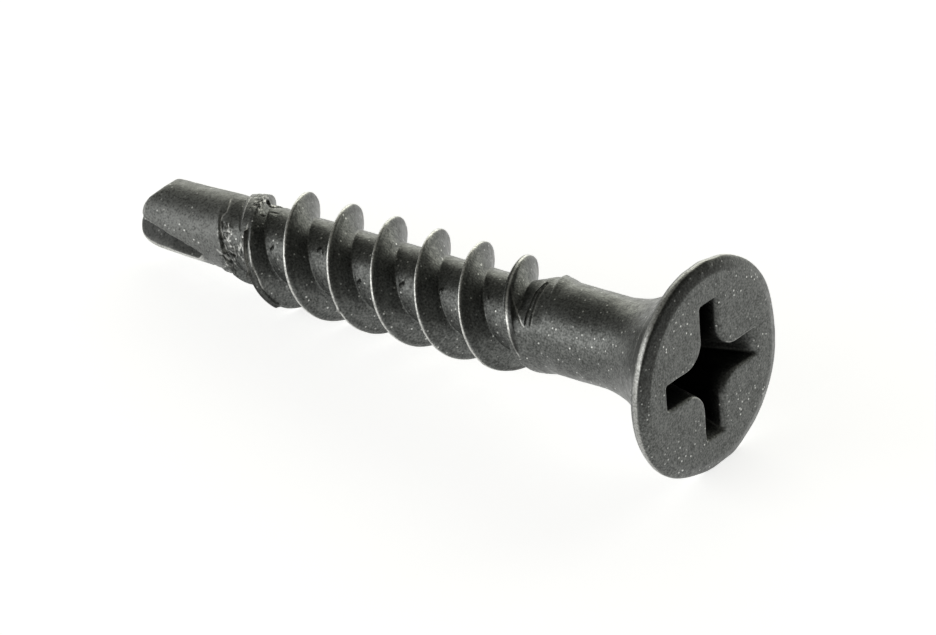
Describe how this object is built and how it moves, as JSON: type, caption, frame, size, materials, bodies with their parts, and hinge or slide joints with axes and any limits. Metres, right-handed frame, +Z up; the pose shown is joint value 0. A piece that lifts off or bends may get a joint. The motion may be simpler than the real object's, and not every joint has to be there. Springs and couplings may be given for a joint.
{
  "type": "self drilling screw",
  "caption": "Bugle head self drilling screw with a cross recess, a coarse twin-start thread and a fluted drill point, lying at rest.",
  "frame": {"origin": "On the floor that the screw lies on, below the centre of its bounding box.", "axes": "The head is towards +X and +Z is up. The screw's axis lies in the XZ plane and rises by 5.59 degrees towards the head, because the screw rests on its rim and on a thread crest."},
  "size_m": [0.025, 0.008, 0.0078],
  "materials": {
    "phosphate_steel": "matte dark grey phosphate coat on hardened steel, finely speckled, worn to a lighter line on the thread crests and recess edges"
  },
  "bodies": {
    "root": {"screw": "phosphate_steel"}
  },
  "joints": []
}
